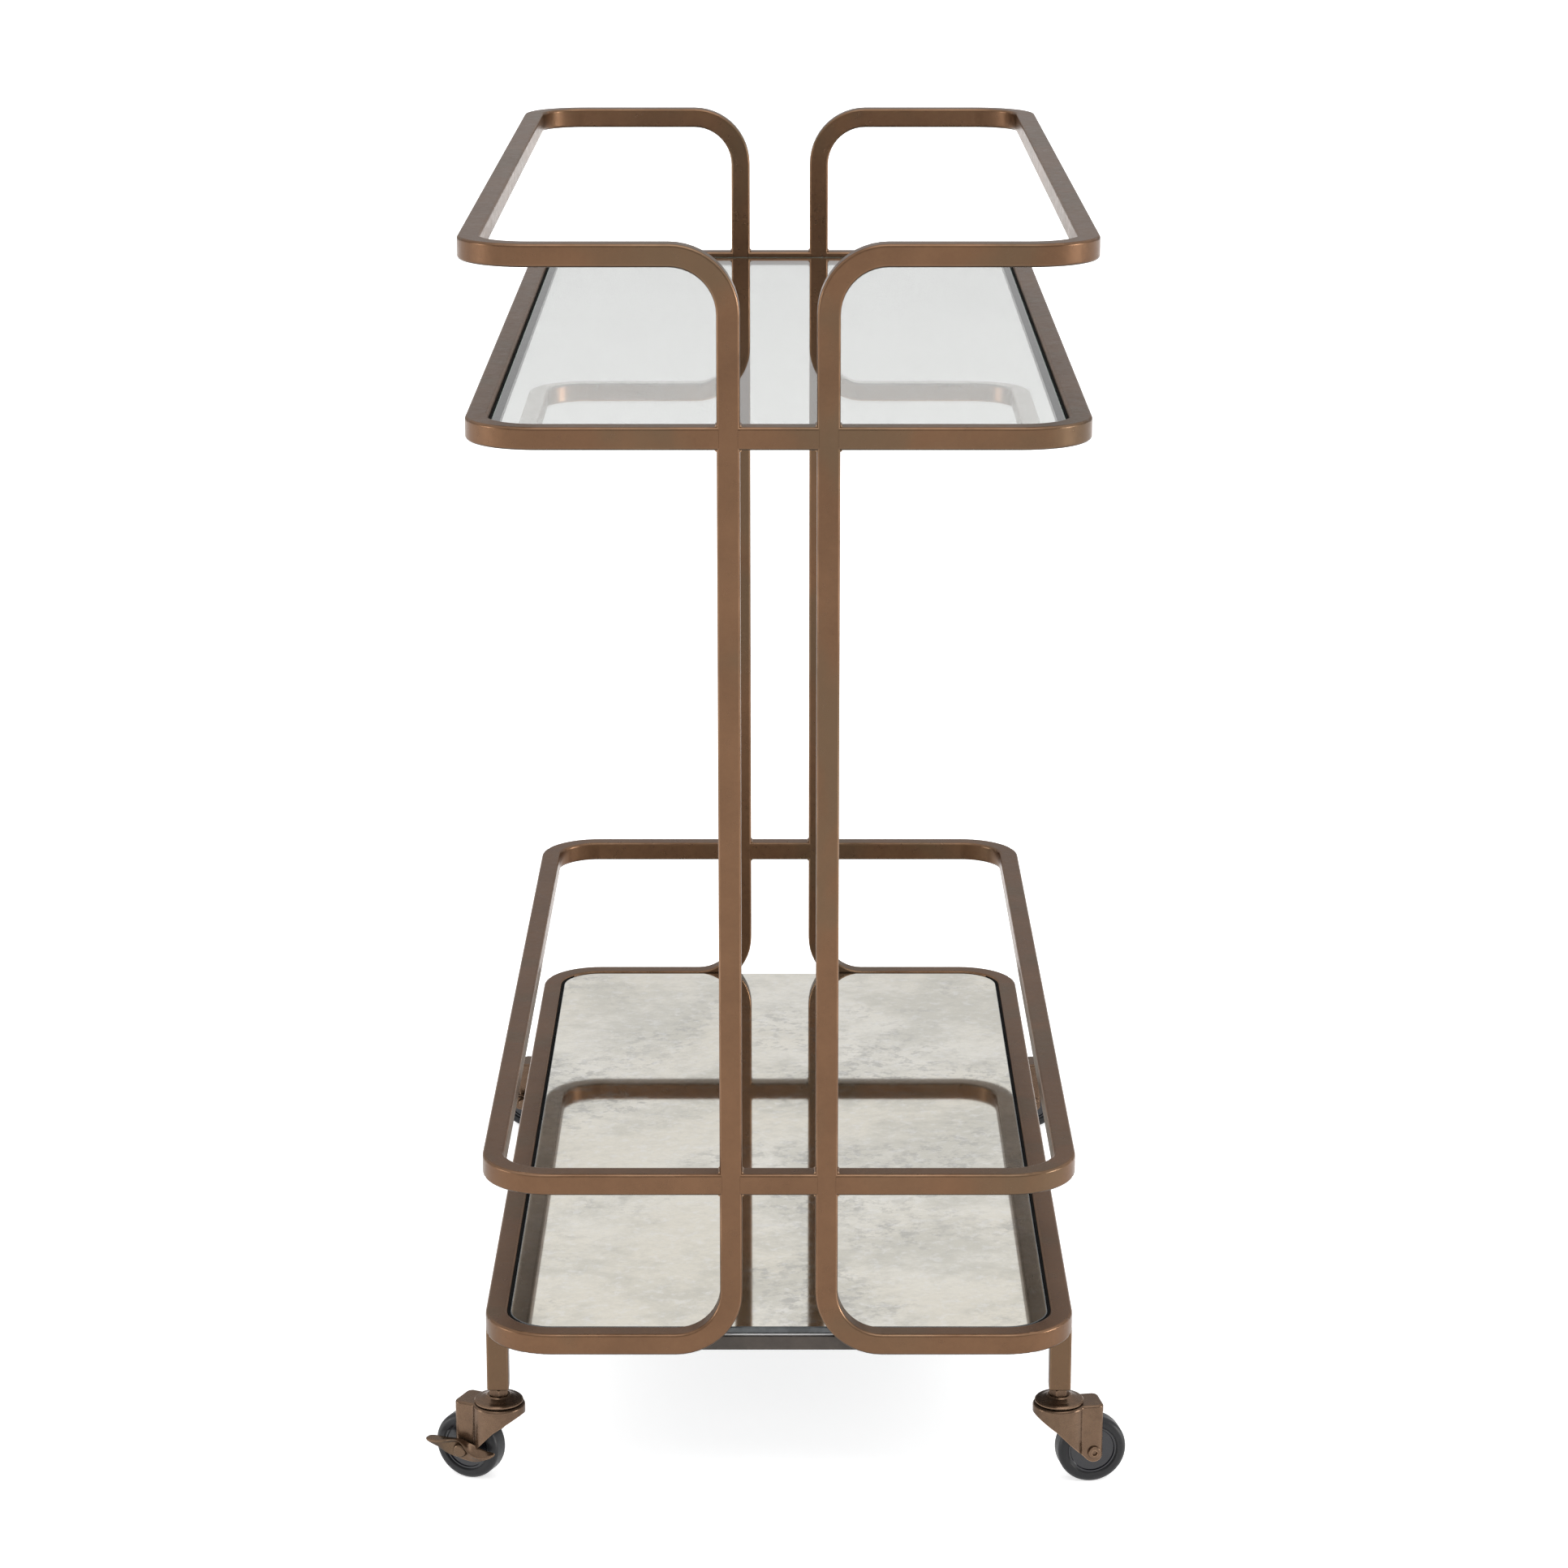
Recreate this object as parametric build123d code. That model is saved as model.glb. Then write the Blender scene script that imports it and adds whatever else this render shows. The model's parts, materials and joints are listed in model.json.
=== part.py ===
from build123d import *
import os

# Bar cart on four swivel casters. Millimetres. Origin on the floor under the middle of the cart,
# +X to the right, +Y along the cart's length, +Z up. The front end is at -Y.

# Square steel tube
TUBE = 15.9
TUBE_CORNER = 2.2
TUBE_WALL = 1.2
TUBE_BORE = TUBE - 2 * TUBE_WALL
TUBE_FLAT = TUBE - 2 * TUBE_CORNER
COPE = 1.4  # how far a butted tube end reaches round the rounded edges of the tube it meets

# Frame
LENGTH = 866
TOP_RAIL_WIDTH = 437
TOP_RING_WIDTH = 431
GUARD_RING_WIDTH = 427
BOTTOM_WIDTH = 427
BOTTOM_Z = 129  # heights are to the middle of the tube
GUARD_Z = 251
TOP_RING_Z = 787.5
TOP_RAIL_Z = 911.5
POST_SPACING = 68
POST_BEND = 40  # bend radii are to the middle of the tube
PLAN_BEND = 42
BEND_STUB = 12  # straight length past each post bend
END_Y = LENGTH / 2 - TUBE / 2
BEAD_RADIUS = 1.2

# Shelves
PANE = 5
PANE_GAP = 1.8
GLASS_DROP = 3.9  # glass surface below the top of its ring
MIRROR_DROP = 1.2
LEDGE_WIDTH = 8
LEDGE_THICKNESS = 2.5
GLASS_PAD = 1
TRIM_THICKNESS = 1.6
TRIM_RISE = 0.2  # above the pane
TRIM_REACH = 10  # how far in from the tube the edge trims follow the corners
BACKING = 0.8
BACKING_INSET = 3
MIRROR_PAD = 1.15
CROSS_BAR = 10
CROSS_BAR_WALL = 1
CROSS_BAR_HALF = 160

# Legs
LEG_Y = 380
LEG_X = BOTTOM_WIDTH / 2 - TUBE / 2
LEG_BOTTOM_Z = 74
LEG_END_CHAMFER = 0.7
INSERT_HEIGHT = 14
STEM_RADIUS = 4
STEM_REACH = 12

# Casters: local +X is the way the wheel trails, local Y is the axle
TRAIL = 24
WHEEL_RADIUS = 25.5
WHEEL_HALF = 9
WHEEL_SHOULDER = 4.5
TYRE_LIP = 0.8
HUB_RADIUS = 18
HUB_FACE_HALF = 6.6
HUB_BOSS_RADIUS = 7
HUB_BOSS_HALF = 9.9
HUB_BOSS_CHAMFER = 0.6
HUB_RING = 2  # width of the raised ring against the tyre
HUB_RING_HEIGHT = 1
AXLE_RADIUS = 3
AXLE_CLEARANCE = 0.05
FORK_TOP_Z = 62.2
FORK_PLATE = 2
FORK_HEAD_RADIUS = 19.4
FORK_HALF = 12.4
FORK_END = 31.5
FORK_EAR_RADIUS = 7.5
FORK_ROOF_Z = 56  # the wheel's way out at the back is open up to here
FORK_KNEE = (-4.8, 44.8)  # side view: where the head's lower edge meets the arm
FORK_CHIN_Z = 56.5  # side view: lower edge of the head at its front
FORK_TAIL_CORNER = 5  # plan
FORK_WAIST = 3  # plan: where the head runs into the arms
FORK_TOP_EDGE = 2
FORK_BORE_CLEARANCE = 0.06
CAP_RADIUS = 18
CAP_BASE_Z = 62.7
CAP_TOP_Z = 68.5
CAP_RIM = 2.5  # height of the rim
CAP_RIM_CHAMFER = 0.8
CAP_STEP_RADIUS = 13.5
CAP_NECK_RADIUS = 8.5
CAP_NECK_CHAMFER = 0.8
BALL_RADIUS = 1.2
BALL_PITCH_RADIUS = 11
BALL_COUNT = 14
BALL_LIFT = 0.05
NUT_FLATS = 13
RIVET_RADIUS = 7
RIVET_HEIGHT = 2.2
RIVET_GAP = 0.2
BOLT_HEAD_RADIUS = 4.8
BOLT_HEAD_HEIGHT = 2.2
BOLT_HEAD_ROUNDING = 1
BOLT_END = 1  # how far the thread stands out of its nut
SOCKET_FLATS = 4
SOCKET_DEPTH = 1.6
AXLE_NUT_FLATS = 8.5
AXLE_NUT_HEIGHT = 3

# Brake lever
LEVER_PLATE = 1.5
LEVER_GAP = 1.6  # from the fork's side plate
LEVER_SHOULDER_RADIUS = 4
LEVER_SHOULDER_LENGTH = 3.4
LEVER_CLEARANCE = 0.05
LEVER_CAP_RADIUS = 5.2
LEVER_CAP_HEIGHT = 3.2
LEVER_CAP_ROUNDING = 1.9
LEVER_TAB = 9
LEVER_TAB_CORNER = 4
LEVER_TOP = 7.5
LEVER_INNER = FORK_HALF + LEVER_GAP

# Caster name: end of the cart in X, end in Y, trail direction in degrees, side of its bolt head, brake
CASTERS = {
    "front_left": (-1, -1, 155, 1, True),
    "front_right": (1, -1, 10, -1, False),
    "rear_left": (-1, 1, 165, 1, True),
    "rear_right": (1, 1, 12, -1, False),
}


def square_tube(path, side=(1, 0, 0), hollow=True):
    """Square tube along a path. side is square to the path's start and to two of the tube's faces."""
    profile = RectangleRounded(TUBE, TUBE, TUBE_CORNER)
    if hollow:
        profile -= RectangleRounded(TUBE_BORE, TUBE_BORE, TUBE_CORNER - TUBE_WALL)
    start = Plane(origin=path @ 0, x_dir=side, z_dir=path % 0)
    return sweep(start * profile, path=path)


def slab(outline, bottom, top):
    """Flat outline in plan, made solid between two heights."""
    return Pos(0, 0, bottom) * extrude(outline, top - bottom)


def rail_path(sign, width, height, post_z):
    """U in plan that starts at the front post at post_z, bends level at height and comes back."""
    post_x = sign * POST_SPACING / 2
    side_x = sign * (width - TUBE) / 2
    points = [
        (post_x, -END_Y, post_z),
        (post_x, -END_Y, height),
        (side_x, -END_Y, height),
        (side_x, END_Y, height),
        (post_x, END_Y, height),
        (post_x, END_Y, post_z),
    ]
    return FilletPolyline(*points, radius=[POST_BEND, PLAN_BEND, PLAN_BEND, POST_BEND])


def top_rail(sign):
    return square_tube(rail_path(sign, TOP_RAIL_WIDTH, TOP_RAIL_Z, POST_TOP_Z))


def bottom_rail(sign, hollow=True):
    return square_tube(rail_path(sign, BOTTOM_WIDTH, BOTTOM_Z, POST_BOTTOM_Z), hollow=hollow)


def post(sign, end, hollow=True):
    x = sign * POST_SPACING / 2
    y = end * END_Y
    return square_tube(Line((x, y, POST_BOTTOM_Z), (x, y, POST_TOP_Z)), hollow=hollow)


def ring_side(sign, width, height):
    """U-shaped side of a ring, its ends coped to the outer faces of the posts."""
    end_x = sign * (POST_SPACING / 2 + TUBE / 2 - COPE)
    side_x = sign * (width - TUBE) / 2
    plan = [(end_x, -END_Y), (side_x, -END_Y), (side_x, END_Y), (end_x, END_Y)]
    path = FilletPolyline(*[(x, y, height) for x, y in plan], radius=PLAN_BEND)
    tube = square_tube(path, side=(0, 1, 0))
    return tube - post(sign, -1, hollow=False) - post(sign, 1, hollow=False)


def ring_bar(end, height):
    """Short bar between the two posts of one end."""
    half = POST_SPACING / 2 - TUBE / 2 + COPE
    tube = square_tube(Line((-half, end * END_Y, height), (half, end * END_Y, height)), side=(0, 1, 0))
    return tube - post(-1, end, hollow=False) - post(1, end, hollow=False)


def weld_beads():
    """A small fillet of weld in each corner where a ring crosses a post."""
    quadrant = Box(BEAD_RADIUS, BEAD_RADIUS, TUBE_FLAT, align=(Align.MIN, Align.MIN, Align.CENTER))
    bead = Cylinder(BEAD_RADIUS, TUBE_FLAT) & quadrant
    beads = []
    for end in (-1, 1):
        for height in (GUARD_Z, TOP_RING_Z):
            for sign in (-1, 1):
                for across in (-1, 1):
                    for up in (-1, 1):
                        x = sign * POST_SPACING / 2 + across * TUBE / 2
                        corner = (x, end * END_Y, height + up * TUBE / 2)
                        free_corner = Plane(corner, x_dir=(across, 0, 0), z_dir=(0, -across * up, 0))
                        beads.append(free_corner * bead)
    return Compound(beads)


def pane_outline(width, gap):
    """Rounded rectangle inside a ring of tube, held off it by a gap."""
    corner = PLAN_BEND - TUBE / 2 - gap
    return RectangleRounded(width - 2 * (TUBE + gap), LENGTH - 2 * (TUBE + gap), corner)


def edge_trims(width, bottom, top):
    """Strips that fill the gap along the long edges of a pane and run part of the way round its corners."""
    strips = pane_outline(width, 0) - pane_outline(width, TRIM_THICKNESS)
    strips -= Rectangle(width - 2 * (TUBE + TRIM_REACH), LENGTH)
    return slab(strips, bottom, top)


def long_strips(width, inset, strip_width, bottom, top):
    """Two strips along the straight part of the long sides, inset from the tube's inner face."""
    x = width / 2 - TUBE - inset - strip_width / 2
    strip = Rectangle(strip_width, LENGTH - 2 * (PLAN_BEND + TUBE / 2))
    return slab(Pos(-x, 0) * strip + Pos(x, 0) * strip, bottom, top)


def cross_bar(half_length, y):
    """Small square tube across the cart, under the mirror."""
    profile = Rectangle(CROSS_BAR, CROSS_BAR) - Rectangle(
        CROSS_BAR - 2 * CROSS_BAR_WALL, CROSS_BAR - 2 * CROSS_BAR_WALL
    )
    start = Plane((-half_length, y, MIRROR_LEDGE_Z - CROSS_BAR / 2), x_dir=(0, 1, 0), z_dir=(1, 0, 0))
    return extrude(start * profile, 2 * half_length)


def leg(sign, end):
    """Short upright tube, coped to the rounded underside of the bottom rail."""
    x = sign * LEG_X
    y = end * LEG_Y
    top = BOTTOM_Z - TUBE / 2 + COPE
    tube = square_tube(Line((x, y, LEG_BOTTOM_Z), (x, y, top)))
    foot_edges = tube.faces().sort_by(Axis.Z)[0].outer_wire().edges()
    return chamfer(foot_edges, LEG_END_CHAMFER) - bottom_rail(sign, hollow=False)


def ring_solid(profile_points):
    """Solid of revolution about local Z from (radius, height) points."""
    return revolve(Plane.XZ * Polygon(*profile_points, align=None), Axis.Z)


def leg_insert():
    outline = RectangleRounded(TUBE_BORE, TUBE_BORE, TUBE_CORNER - TUBE_WALL) - Circle(STEM_RADIUS)
    return slab(outline, LEG_BOTTOM_Z, LEG_BOTTOM_Z + INSERT_HEIGHT)


def caster_stem():
    """Threaded stem with the flat rivet head that holds the fork up."""
    rivet_top = FORK_TOP_Z - FORK_PLATE - RIVET_GAP
    rivet = slab(Circle(RIVET_RADIUS), rivet_top - RIVET_HEIGHT, rivet_top)
    rivet = fillet(rivet.edges().group_by(Axis.Z)[0], RIVET_HEIGHT / 2)
    return rivet + slab(Circle(STEM_RADIUS), rivet_top - RIVET_HEIGHT, LEG_BOTTOM_Z + STEM_REACH)


def stem_nut():
    """Hexagon nut between the race cap and the leg, its corners chamfered top and bottom."""
    flats_to_corner = RegularPolygon(NUT_FLATS / 2, 6, major_radius=False)
    nut = slab(flats_to_corner, CAP_TOP_Z, LEG_BOTTOM_Z)
    middle = (CAP_TOP_Z + LEG_BOTTOM_Z) / 2
    half = (LEG_BOTTOM_Z - CAP_TOP_Z) / 2
    chamfer_cone = ring_solid(
        [
            (0, middle - half),
            (NUT_FLATS / 2, middle - half),
            (NUT_FLATS / 2 + half, middle),
            (NUT_FLATS / 2, middle + half),
            (0, middle + half),
        ]
    )
    return (nut & chamfer_cone) - slab(Circle(STEM_RADIUS), CAP_TOP_Z, LEG_BOTTOM_Z)


def race_cap():
    """Pressed steel cap over the balls of the swivel."""
    rim_z = CAP_BASE_Z + CAP_RIM
    cap = ring_solid(
        [
            (STEM_RADIUS, CAP_BASE_Z),
            (CAP_RADIUS - CAP_RIM_CHAMFER, CAP_BASE_Z),
            (CAP_RADIUS, CAP_BASE_Z + CAP_RIM_CHAMFER),
            (CAP_RADIUS, rim_z - CAP_RIM_CHAMFER),
            (CAP_RADIUS - CAP_RIM_CHAMFER, rim_z),
            (CAP_STEP_RADIUS, rim_z + CAP_RIM_CHAMFER),
            (CAP_NECK_RADIUS + CAP_NECK_CHAMFER, CAP_TOP_Z - CAP_NECK_CHAMFER),
            (CAP_NECK_RADIUS, CAP_TOP_Z),
            (STEM_RADIUS, CAP_TOP_Z),
        ]
    )
    ball_track_top = FORK_TOP_Z + BALL_LIFT + 2 * BALL_RADIUS + BALL_LIFT
    inner = BALL_PITCH_RADIUS - BALL_RADIUS - BALL_LIFT
    outer = BALL_PITCH_RADIUS + BALL_RADIUS + BALL_LIFT
    return cap - slab(Circle(outer) - Circle(inner), CAP_BASE_Z, ball_track_top)


def swivel_balls():
    """One caster's ring of balls, between the fork's head and the race cap."""
    height = FORK_TOP_Z + BALL_LIFT + BALL_RADIUS
    spots = PolarLocations(BALL_PITCH_RADIUS, BALL_COUNT)
    return [Pos(0, 0, height) * spot * Sphere(BALL_RADIUS) for spot in spots]


def fork():
    """Stamped fork: a round head that runs into two side plates, open under the head and at the back."""
    low = WHEEL_RADIUS - FORK_EAR_RADIUS - 1
    high = FORK_TOP_Z + 1
    front = -FORK_HEAD_RADIUS - 1
    tail = Pos(FORK_END / 2, 0) * Rectangle(FORK_END, 2 * FORK_HALF)
    tail = fillet(tail.vertices().group_by(Axis.X)[-1], FORK_TAIL_CORNER)
    plan = Circle(FORK_HEAD_RADIUS) + tail
    waist_x = (FORK_HEAD_RADIUS**2 - FORK_HALF**2) ** 0.5
    plan = fillet(plan.vertices().filter_by(lambda v: abs(v.X - waist_x) < 0.1), FORK_WAIST)
    bore_half = FORK_HALF - FORK_PLATE
    inner_tail = Pos((FORK_END - FORK_PLATE) / 2, 0) * Rectangle(FORK_END - FORK_PLATE, 2 * bore_half)
    body = slab(plan, low, FORK_TOP_Z)
    body = fillet(body.edges().group_by(Axis.Z)[-1], FORK_TOP_EDGE)
    body -= slab(Circle(FORK_HEAD_RADIUS - FORK_PLATE) + inner_tail, low, FORK_TOP_Z - FORK_PLATE)
    # Side view: from the head's low front edge down to a round ear about the axle
    ear = Pos(TRAIL, WHEEL_RADIUS) * Circle(FORK_EAR_RADIUS)
    back_line = Line(FORK_KNEE, (FORK_END, FORK_TOP_Z))
    plates = make_hull([*ear.edges(), *back_line.edges()])
    head_top = [(FORK_END, FORK_TOP_Z), (FORK_END, high), (front, high)]
    head = Polygon((front, FORK_CHIN_Z), FORK_KNEE, *head_top, align=None)
    side_view = extrude(Plane.XZ * (plates + head), -front, both=True)
    body &= side_view
    way_out = Box(4 * FORK_PLATE, 2 * bore_half, FORK_ROOF_Z - low)
    wheel_way = Pos(FORK_END, 0, (low + FORK_ROOF_Z) / 2) * way_out
    stem_bore = Pos(0, 0, FORK_TOP_Z) * Cylinder(STEM_RADIUS + FORK_BORE_CLEARANCE, 10)
    axle_bore = Pos(TRAIL, 0, WHEEL_RADIUS) * Rot(90, 0, 0) * Cylinder(AXLE_RADIUS, 4 * FORK_HALF)
    return body - wheel_way - stem_bore - axle_bore


def about_axle(shape):
    """Takes a solid built about local Z to the axle, its +Z end towards local +Y."""
    return Pos(TRAIL, 0, WHEEL_RADIUS) * Rot(-90, 0, 0) * shape


def axle(side, brake):
    """Axle bolt and its nut. The head faces the given side; a brake's pivot shoulder is on that side too."""
    shank_end = FORK_HALF + AXLE_NUT_HEIGHT + BOLT_END
    bolt = slab(Circle(AXLE_RADIUS), -shank_end, FORK_HALF + 1)
    if brake:
        cap_base = FORK_HALF + LEVER_SHOULDER_LENGTH
        bolt += slab(Circle(LEVER_SHOULDER_RADIUS), FORK_HALF, cap_base)
        cap = slab(Circle(LEVER_CAP_RADIUS), cap_base, cap_base + LEVER_CAP_HEIGHT)
        bolt += fillet(cap.edges().group_by(Axis.Z)[-1], LEVER_CAP_ROUNDING)
    else:
        head = slab(Circle(BOLT_HEAD_RADIUS), FORK_HALF, FORK_HALF + BOLT_HEAD_HEIGHT)
        head = fillet(head.edges().group_by(Axis.Z)[-1], BOLT_HEAD_ROUNDING)
        socket = RegularPolygon(SOCKET_FLATS / 2, 6, major_radius=False)
        head_top = FORK_HALF + BOLT_HEAD_HEIGHT
        bolt = bolt + head - slab(socket, head_top - SOCKET_DEPTH, head_top)
    nut_outline = RegularPolygon(AXLE_NUT_FLATS / 2, 6, major_radius=False) - Circle(AXLE_RADIUS)
    nut = slab(nut_outline, -FORK_HALF - AXLE_NUT_HEIGHT, -FORK_HALF)
    turn = Rot(0 if side > 0 else 180, 0, 0)
    return Compound([about_axle(turn * bolt), about_axle(turn * nut)])


def tyre():
    body = slab(Circle(WHEEL_RADIUS), -WHEEL_HALF, WHEEL_HALF)
    body = fillet(body.edges().filter_by(GeomType.CIRCLE), WHEEL_SHOULDER)
    body -= slab(Circle(HUB_RADIUS), -WHEEL_HALF, WHEEL_HALF)
    lips = body.edges().filter_by(GeomType.CIRCLE).filter_by(lambda e: abs(e.radius - HUB_RADIUS) < 0.1)
    return about_axle(chamfer(lips, TYRE_LIP))


def hub():
    """Recessed disc with a raised boss about the axle bore and a raised rim ring against the tyre."""
    ring_top = HUB_FACE_HALF + HUB_RING_HEIGHT
    half = [
        (AXLE_RADIUS + AXLE_CLEARANCE, HUB_BOSS_HALF),
        (HUB_BOSS_RADIUS - HUB_BOSS_CHAMFER, HUB_BOSS_HALF),
        (HUB_BOSS_RADIUS, HUB_BOSS_HALF - HUB_BOSS_CHAMFER),
        (HUB_BOSS_RADIUS, HUB_FACE_HALF),
        (HUB_RADIUS - HUB_RING, HUB_FACE_HALF),
        (HUB_RADIUS - HUB_RING * 0.7, ring_top),
        (HUB_RADIUS, ring_top),
    ]
    return about_axle(ring_solid(half + [(r, -z) for r, z in reversed(half)]))


def brake_lever(side):
    """Rocker on the axle, outside the fork, with a foot tab bent outwards at each end."""
    outline = Polygon(  # side view: distances behind and above the axle
        (25.3, LEVER_TOP),
        (3, LEVER_TOP),
        (-3, 7.4),
        (-9.5, -2.2),
        (-13, -1.8),
        (-28.5, 4.2),
        (-28.5, 2.7),
        (-20, -4),
        (-3, -6.2),
        (8, -3.4),
        (18, 4.2),
        (25.3, 6),
        align=None,
    )
    plate = extrude(Plane.XZ * outline, -LEVER_PLATE)
    press_tab = Pos(16.3, LEVER_TAB / 2) * Rectangle(18, LEVER_TAB)
    press_tab = fillet(press_tab.vertices().group_by(Axis.Y)[-1], LEVER_TAB_CORNER)
    press_tab = Pos(0, 0, LEVER_TOP - LEVER_PLATE) * extrude(press_tab, LEVER_PLATE)
    rise = Plane((-14, 0, -1.4), x_dir=(-15.5, 0, 6), z_dir=(6, 0, 15.5))  # its local -Y is outwards
    release_tab = Pos(7.75, -LEVER_TAB / 2) * Rectangle(15.5, LEVER_TAB)
    release_tab = fillet(release_tab.vertices().group_by(Axis.Y)[0], LEVER_TAB_CORNER)
    release_tab = rise * extrude(release_tab, -LEVER_PLATE)
    pivot = Rot(90, 0, 0) * Cylinder(LEVER_SHOULDER_RADIUS + LEVER_CLEARANCE, 10)
    lever = Pos(TRAIL, LEVER_INNER, WHEEL_RADIUS) * (plate + press_tab + release_tab - pivot)
    return lever if side > 0 else mirror(lever, about=Plane.XZ)


def at_caster(name, shape):
    """Takes a shape from a caster's own frame to its place under the cart."""
    sign, end, angle = CASTERS[name][:3]
    return Pos(sign * LEG_X, end * LEG_Y, 0) * Rot(0, 0, angle) * shape


def under_each_leg(shape):
    """The same shape under all four legs, turned with each caster."""
    return Compound([at_caster(name, shape) for name in CASTERS])


# Heights that follow from the dimensions above
POST_TOP_Z = TOP_RAIL_Z - POST_BEND - BEND_STUB
POST_BOTTOM_Z = BOTTOM_Z + POST_BEND + BEND_STUB
GLASS_TOP_Z = TOP_RING_Z + TUBE / 2 - GLASS_DROP
GLASS_LEDGE_Z = GLASS_TOP_Z - PANE - GLASS_PAD
MIRROR_TOP_Z = BOTTOM_Z + TUBE / 2 - MIRROR_DROP
MIRROR_LEDGE_Z = MIRROR_TOP_Z - PANE - BACKING - MIRROR_PAD

parts = {"weld_beads": weld_beads()}

for side_name, sign in (("left", -1), ("right", 1)):
    parts[f"{side_name}_top_rail"] = top_rail(sign)
    parts[f"{side_name}_bottom_rail"] = bottom_rail(sign)
    parts[f"{side_name}_top_ring"] = ring_side(sign, TOP_RING_WIDTH, TOP_RING_Z)
    parts[f"{side_name}_guard_ring"] = ring_side(sign, GUARD_RING_WIDTH, GUARD_Z)
    for end_name, end in (("front", -1), ("rear", 1)):
        parts[f"{end_name}_{side_name}_post"] = post(sign, end)
        parts[f"{end_name}_{side_name}_leg"] = leg(sign, end)

for end_name, end in (("front", -1), ("rear", 1)):
    parts[f"{end_name}_top_bar"] = ring_bar(end, TOP_RING_Z)
    parts[f"{end_name}_guard_bar"] = ring_bar(end, GUARD_Z)

# Glass shelf
parts["glass_shelf"] = slab(pane_outline(TOP_RING_WIDTH, PANE_GAP), GLASS_TOP_Z - PANE, GLASS_TOP_Z)
parts["glass_ledges"] = long_strips(
    TOP_RING_WIDTH, 0, LEDGE_WIDTH, GLASS_LEDGE_Z - LEDGE_THICKNESS, GLASS_LEDGE_Z
)
parts["glass_pads"] = long_strips(
    TOP_RING_WIDTH, PANE_GAP, LEDGE_WIDTH - PANE_GAP, GLASS_LEDGE_Z, GLASS_TOP_Z - PANE
)
parts["glass_edge_trims"] = edge_trims(TOP_RING_WIDTH, GLASS_LEDGE_Z, GLASS_TOP_Z + TRIM_RISE)

# Mirror shelf, on ledges along its sides and three bars across
backing_z = MIRROR_TOP_Z - PANE - BACKING
bar_y = END_Y - TUBE / 2 - CROSS_BAR / 2
bars = {
    "mirror_front_bar": cross_bar(CROSS_BAR_HALF, -bar_y),
    "mirror_middle_bar": cross_bar(BOTTOM_WIDTH / 2 - TUBE, 0),
    "mirror_rear_bar": cross_bar(CROSS_BAR_HALF, bar_y),
}
parts.update(bars)
parts["mirror_shelf"] = slab(pane_outline(BOTTOM_WIDTH, PANE_GAP), MIRROR_TOP_Z - PANE, MIRROR_TOP_Z)
parts["mirror_backing"] = slab(
    pane_outline(BOTTOM_WIDTH, PANE_GAP + BACKING_INSET), backing_z, MIRROR_TOP_Z - PANE
)
ledges = long_strips(BOTTOM_WIDTH, 0, LEDGE_WIDTH, MIRROR_LEDGE_Z - LEDGE_THICKNESS, MIRROR_LEDGE_Z)
middle_gap = Pos(0, 0, MIRROR_LEDGE_Z) * Box(BOTTOM_WIDTH, CROSS_BAR, 4 * LEDGE_THICKNESS)
parts["mirror_ledges"] = ledges - middle_gap
side_pads = long_strips(BOTTOM_WIDTH, PANE_GAP + BACKING_INSET, LEDGE_WIDTH - PANE_GAP - BACKING_INSET,
                        MIRROR_LEDGE_Z, backing_z)
bar_pad = Rectangle(2 * CROSS_BAR_HALF, CROSS_BAR - BACKING_INSET)
bar_pads = [Pos(0, y) * bar_pad for y in (-bar_y + BACKING_INSET / 2, 0, bar_y - BACKING_INSET / 2)]
parts["mirror_pads"] = side_pads + [slab(pad, MIRROR_LEDGE_Z, backing_z) for pad in bar_pads]
parts["mirror_edge_trims"] = edge_trims(BOTTOM_WIDTH, MIRROR_LEDGE_Z, MIRROR_TOP_Z + TRIM_RISE)

# Casters
leg_places = [Pos(sign * LEG_X, end * LEG_Y, 0) for sign in (-1, 1) for end in (-1, 1)]
parts["leg_inserts"] = Compound([place * leg_insert() for place in leg_places])
parts["caster_stems"] = under_each_leg(caster_stem())
parts["stem_nuts"] = under_each_leg(stem_nut())
parts["race_caps"] = under_each_leg(race_cap())
parts["swivel_balls"] = Compound([at_caster(name, ball) for name in CASTERS for ball in swivel_balls()])
for name, (_, _, _, side, brake) in CASTERS.items():
    parts[f"{name}_fork"] = at_caster(name, fork())
    parts[f"{name}_axle"] = at_caster(name, axle(side, brake))
    parts[f"{name}_tyre"] = at_caster(name, tyre())
    parts[f"{name}_hub"] = at_caster(name, hub())
    if brake:
        parts[f"{name}_brake_lever"] = at_caster(name, brake_lever(side))

os.makedirs("parts", exist_ok=True)
for name, shape in parts.items():
    export_step(shape, f"parts/{name}.step")
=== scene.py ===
import json
import math

import bmesh
import bpy
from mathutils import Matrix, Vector


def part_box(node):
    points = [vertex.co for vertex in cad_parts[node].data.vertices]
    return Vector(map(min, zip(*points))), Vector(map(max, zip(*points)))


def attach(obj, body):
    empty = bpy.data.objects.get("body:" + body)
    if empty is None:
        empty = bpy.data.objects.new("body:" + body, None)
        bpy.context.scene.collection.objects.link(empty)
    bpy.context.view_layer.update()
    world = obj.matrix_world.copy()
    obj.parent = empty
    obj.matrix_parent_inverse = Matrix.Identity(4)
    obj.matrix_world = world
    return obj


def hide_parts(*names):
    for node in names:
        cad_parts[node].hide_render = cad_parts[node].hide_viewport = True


MM = 0.001

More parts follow.
